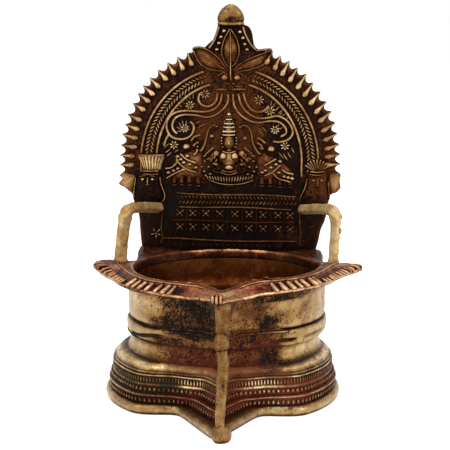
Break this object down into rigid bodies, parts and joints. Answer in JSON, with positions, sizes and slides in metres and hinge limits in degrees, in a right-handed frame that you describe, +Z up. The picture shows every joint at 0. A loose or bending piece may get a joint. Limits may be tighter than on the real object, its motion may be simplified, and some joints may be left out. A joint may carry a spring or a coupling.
{
  "type": "lakshmi oil lamp",
  "caption": "Cast brass oil lamp: leaf shaped oil cup on a moulded foot, with an arched relief plate of a seated figure between elephants behind it",
  "frame": {"origin": "on the floor, under the middle of the lamp's width and length", "axes": "+Z up along the lamp's height, the spout points to -Y, the relief plate faces -Y"},
  "size_m": [0.133, 0.142, 0.19],
  "materials": {
    "polished_brass": "worn bright cast brass",
    "worn_brass": "handled cast brass with brown patina in the recesses",
    "dull_brass": "dull brown oil stained brass",
    "dark_brass": "dark red brown to black patina"
  },
  "bodies": {
    "root": {"backplate": "dark_brass", "bottom_rail": "worn_brass", "centre_finial_leaf": "worn_brass", "cross_lattice": "worn_brass", "finial_knob": "worn_brass", "finial_neck": "dark_brass", "foot_bead_band": "dark_brass", "foot_ring": "worn_brass", "herringbone_border": "worn_brass", "left_arch_braid": "worn_brass", "left_bracket": "polished_brass", "left_elephant": "worn_brass", "left_finial_leaf": "worn_brass", "left_flame_drops": "worn_brass", "left_guardian": "worn_brass", "left_guardian_crown": "worn_brass", "left_inner_cord": "worn_brass", "left_outer_cord": "worn_brass", "left_scroll_vines": "worn_brass", "left_star_flower_1": "worn_brass", "left_star_flower_2": "worn_brass", "left_star_flower_3": "worn_brass", "lion_mask": "worn_brass", "lotus_seat": "worn_brass", "lower_body": "polished_brass", "middle_rail": "worn_brass", "oil_reservoir": "dull_brass", "plinth_bead_band": "dark_brass", "plinth_moulding": "dull_brass", "plinth_step": "worn_brass", "right_arch_braid": "worn_brass", "right_bracket": "polished_brass", "right_elephant": "worn_brass", "right_finial_leaf": "worn_brass", "right_flame_drops": "worn_brass", "right_guardian": "worn_brass", "right_guardian_crown": "worn_brass", "right_inner_cord": "worn_brass", "right_outer_cord": "worn_brass", "right_scroll_vines": "worn_brass", "right_star_flower_1": "worn_brass", "right_star_flower_2": "worn_brass", "right_star_flower_3": "worn_brass", "rim_flange": "worn_brass", "seated_figure": "worn_brass", "strut_foot": "worn_brass", "strut_knob": "worn_brass", "strut_lower_bar": "polished_brass", "strut_upper_bar": "dark_brass", "tall_crown": "worn_brass", "top_rail": "worn_brass", "upper_body": "polished_brass", "waist_band": "polished_brass"}
  },
  "joints": []
}
